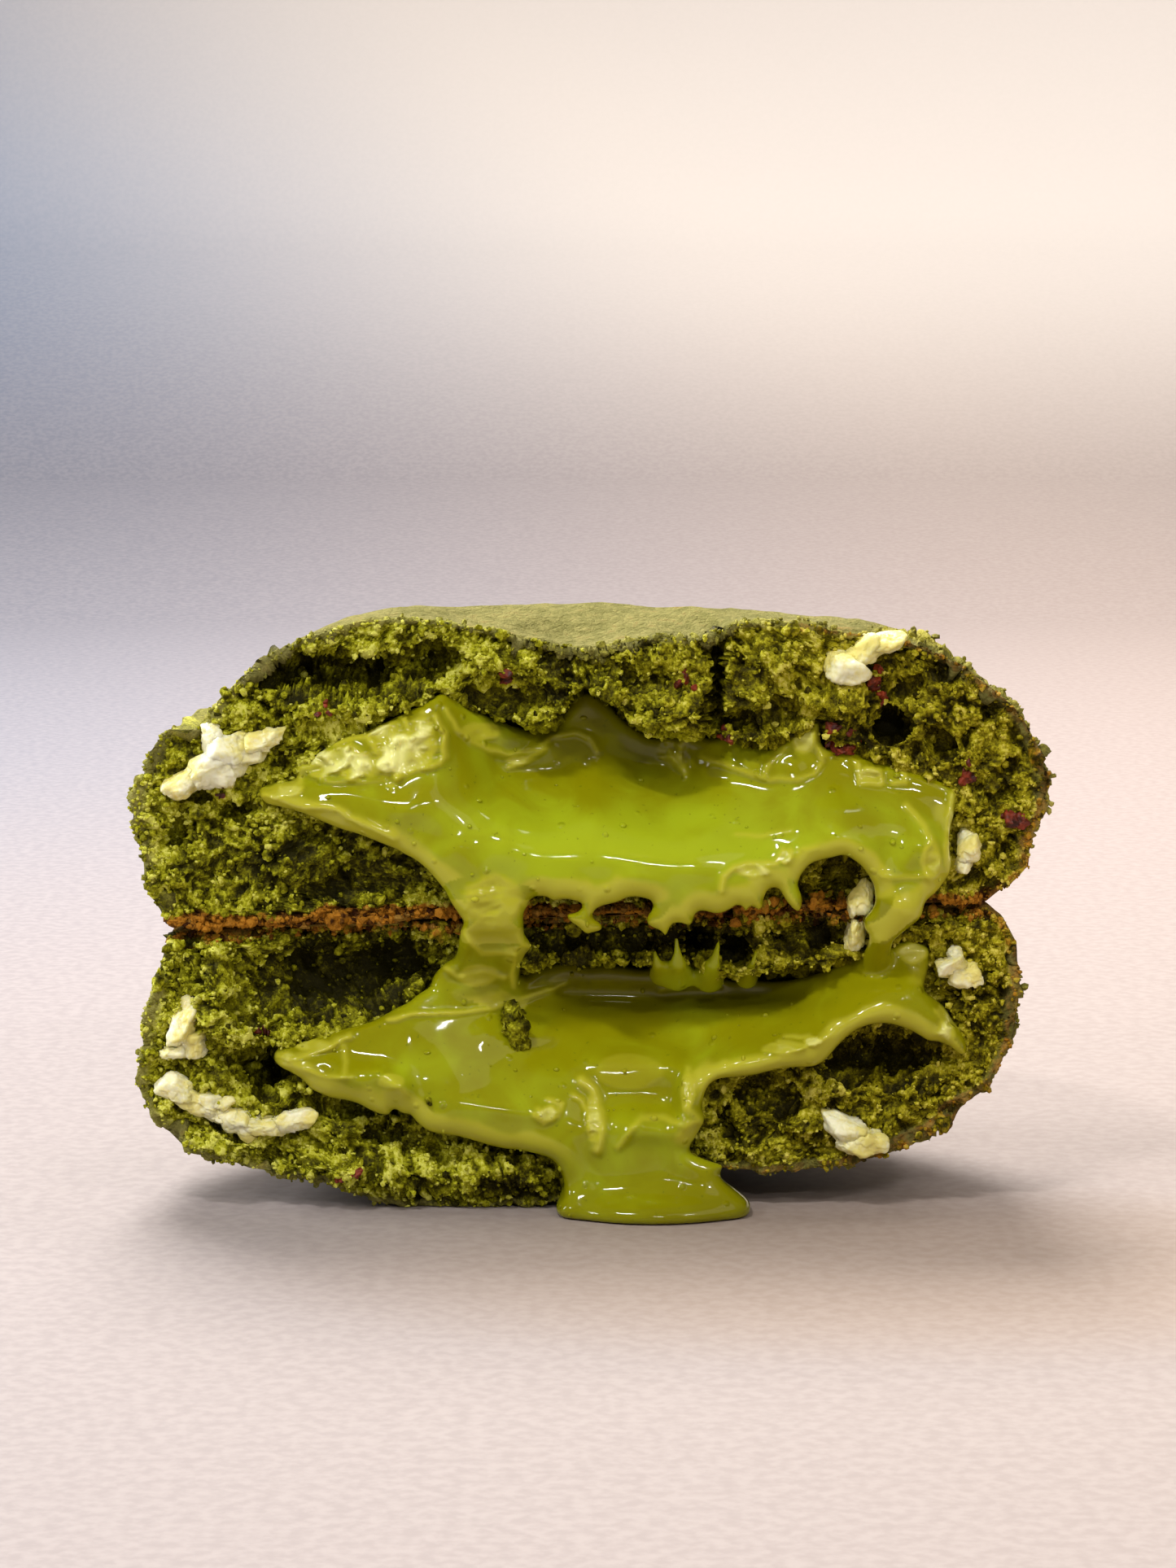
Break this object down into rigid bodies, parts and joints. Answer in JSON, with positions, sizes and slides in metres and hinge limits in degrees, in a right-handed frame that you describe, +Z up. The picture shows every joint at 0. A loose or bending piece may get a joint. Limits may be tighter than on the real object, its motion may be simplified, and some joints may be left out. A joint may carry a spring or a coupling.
{
  "type": "torn filled cookie",
  "caption": "Thick green tea cookie torn in two and stacked base to base, with a soft cream filling that runs down to the surface.",
  "frame": {"origin": "centre of the bounding box, at the level of the surface it lies on", "axes": "+Z up, -Y the way the torn faces look, +X to the right as seen from the front"},
  "size_m": [0.09, 0.0514, 0.0589],
  "materials": {
    "cookie_crumb": "baked green tea crumb, dry and rough",
    "green_cream": "smooth glossy cream, wet",
    "white_chocolate": "waxy, slightly soft"
  },
  "bodies": {
    "root": {"upper_half": "cookie_crumb", "lower_half": "cookie_crumb", "cream": "green_cream", "white_chocolate_01": "white_chocolate", "white_chocolate_02": "white_chocolate", "white_chocolate_03": "white_chocolate", "white_chocolate_04": "white_chocolate", "white_chocolate_05": "white_chocolate", "white_chocolate_06": "white_chocolate", "white_chocolate_07": "white_chocolate", "white_chocolate_08": "white_chocolate", "white_chocolate_09": "white_chocolate", "white_chocolate_10": "white_chocolate"}
  },
  "joints": []
}
